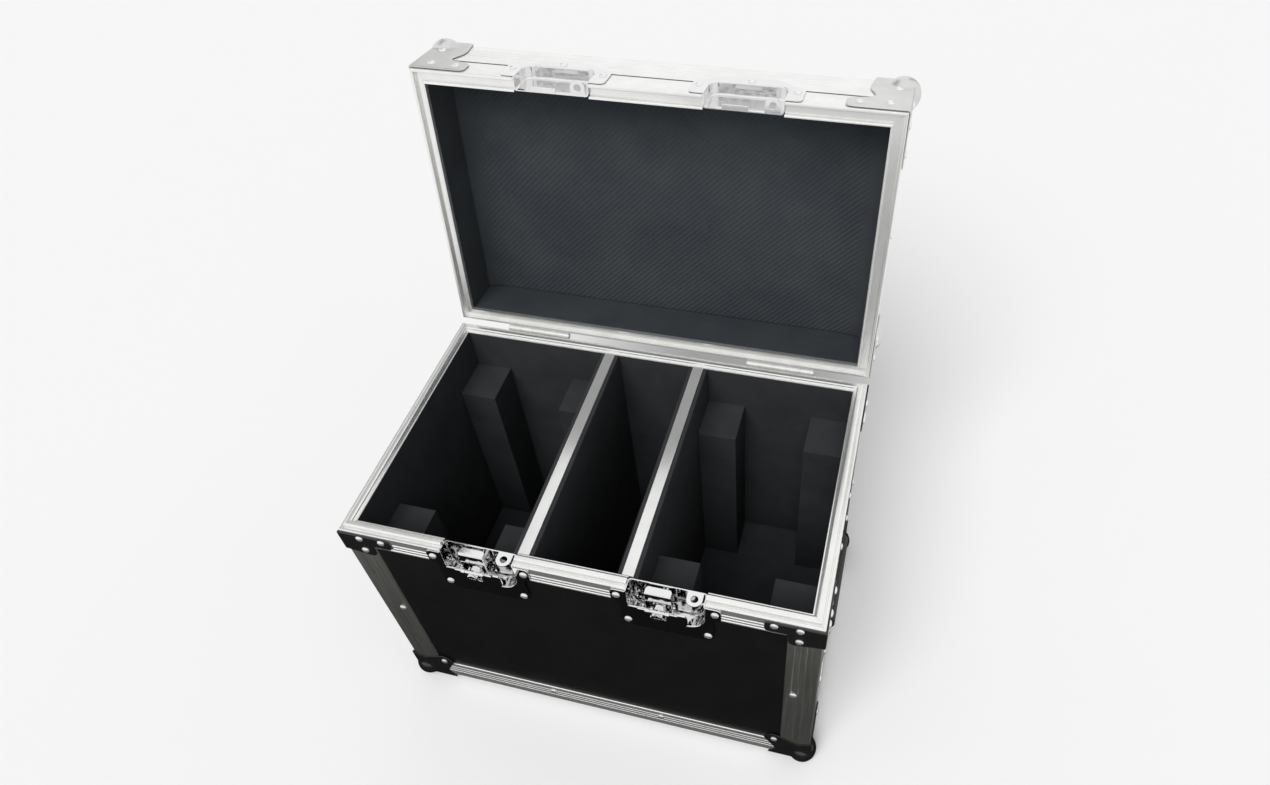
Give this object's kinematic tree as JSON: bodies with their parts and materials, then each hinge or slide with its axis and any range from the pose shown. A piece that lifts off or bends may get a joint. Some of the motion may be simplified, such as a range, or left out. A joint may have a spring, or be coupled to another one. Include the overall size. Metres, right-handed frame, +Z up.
{
  "type": "lighting flight case",
  "caption": "Foam-lined road case for lighting fixtures, with a hinged lid, recessed butterfly latches, side handles, dividers, ball corners and a tongue-and-groove rim.",
  "frame": {"origin": "on the floor under the middle of the open case's box; the bottom panel's middle is 60.4 mm in front of it and 8.8 mm up", "axes": "+X to the right along the front, +Y from the front to the hinged back, +Z up"},
  "size_m": [0.516, 0.4468, 0.646],
  "materials": {
    "laminate": "black laminate on plywood",
    "aluminium": "satin extrusion",
    "black_steel": "black, semi-gloss",
    "silver_steel": "zinc, satin",
    "chrome": "bright chrome",
    "foam": "matt closed-cell foam",
    "board": "black board",
    "grip": "moulded grip"
  },
  "bodies": {
    "case_base": {"panel_front": "laminate", "panel_rear": "laminate", "panel_left": "laminate", "panel_right": "laminate", "panel_bottom": "laminate", "bottom_frame": "aluminium", "corner_angle_front_left": "aluminium", "corner_angle_front_right": "aluminium", "corner_angle_rear_left": "aluminium", "corner_angle_rear_right": "aluminium", "base_rim": "aluminium", "base_rim_middle": "aluminium", "ball_corner_front_left": "black_steel", "ball_corner_front_right": "black_steel", "ball_corner_rear_left": "black_steel", "ball_corner_rear_right": "black_steel", "rim_brace_front_left": "black_steel", "rim_brace_front_right": "black_steel", "rim_brace_rear_left": "black_steel", "rim_brace_rear_right": "black_steel", "foam_bay_left": "foam", "foam_bay_centre": "foam", "foam_bay_right": "foam", "divider_board_left": "board", "divider_board_right": "board", "divider_cap_left": "aluminium", "divider_cap_right": "aluminium", "latch_dish_left": "chrome", "latch_dish_right": "chrome", "handle_dish_left": "chrome", "handle_dish_right": "chrome", "hinge_base_leaf_left": "aluminium", "hinge_base_leaf_right": "aluminium"},
    "lid": {"lid_panel_top": "laminate", "lid_panel_front": "laminate", "lid_panel_rear": "laminate", "lid_panel_left": "laminate", "lid_panel_right": "laminate", "lid_frame": "aluminium", "lid_rim": "aluminium", "lid_rim_middle": "aluminium", "latch_keeper_left": "chrome", "latch_keeper_right": "chrome", "lid_corner_front_left": "silver_steel", "lid_corner_front_right": "silver_steel", "lid_corner_rear_left": "silver_steel", "lid_corner_rear_right": "silver_steel", "hinge_lid_leaf_left": "aluminium", "hinge_lid_leaf_right": "aluminium", "lid_foam": "foam"},
    "rotor_left": {"latch_rotor_left": "chrome"},
    "rotor_right": {"latch_rotor_right": "chrome"},
    "wing_left": {"latch_wing_left": "chrome"},
    "wing_right": {"latch_wing_right": "chrome"},
    "hook_left": {"latch_hook_left": "chrome"},
    "hook_right": {"latch_hook_right": "chrome"},
    "handle_left": {"handle_bail_left": "chrome", "handle_grip_left": "grip"},
    "handle_right": {"handle_bail_right": "chrome", "handle_grip_right": "grip"}
  },
  "joints": [
    {"name": "lid_hinge", "type": "hinge", "parent": "case_base", "child": "lid", "pos_m": [0, 0.09877, 0.332], "axis": [1, 0, 0], "range_deg": [0, 98]},
    {"name": "latch_turn_left", "type": "hinge", "parent": "case_base", "child": "rotor_left", "pos_m": [-0.105, -0.21543, 0.299], "axis": [0, 1, 0], "range_deg": [0, 180]},
    {"name": "latch_turn_right", "type": "hinge", "parent": "case_base", "child": "rotor_right", "pos_m": [0.089, -0.21543, 0.299], "axis": [0, 1, 0], "range_deg": [0, 180]},
    {"name": "hook_lift_left", "type": "slide", "parent": "case_base", "child": "hook_left", "axis": [0, 0, 1], "range_m": [0, 0.007]},
    {"name": "hook_lift_right", "type": "slide", "parent": "case_base", "child": "hook_right", "axis": [0, 0, 1], "range_m": [0, 0.007]},
    {"name": "wing_fold_left", "type": "hinge", "parent": "rotor_left", "child": "wing_left", "pos_m": [-0.105, -0.21913, 0.306], "axis": [-1, 0, 0], "range_deg": [0, 90]},
    {"name": "wing_fold_right", "type": "hinge", "parent": "rotor_right", "child": "wing_right", "pos_m": [0.089, -0.21913, 0.306], "axis": [-1, 0, 0], "range_deg": [0, 90]},
    {"name": "handle_swing_left", "type": "hinge", "parent": "case_base", "child": "handle_left", "pos_m": [-0.245, -0.06043, 0.197], "axis": [0, 1, 0], "range_deg": [0, 90], "stiffness_Nm_per_rad": 0.08, "springref_deg": -17.19},
    {"name": "handle_swing_right", "type": "hinge", "parent": "case_base", "child": "handle_right", "pos_m": [0.245, -0.06043, 0.197], "axis": [0, -1, 0], "range_deg": [0, 90], "stiffness_Nm_per_rad": 0.08, "springref_deg": -17.19}
  ],
  "couplings": [
    {"joint": "hook_lift_left", "follows": "latch_turn_left", "m_per_rad": 0.002228},
    {"joint": "hook_lift_right", "follows": "latch_turn_right", "m_per_rad": 0.002228}
  ]
}
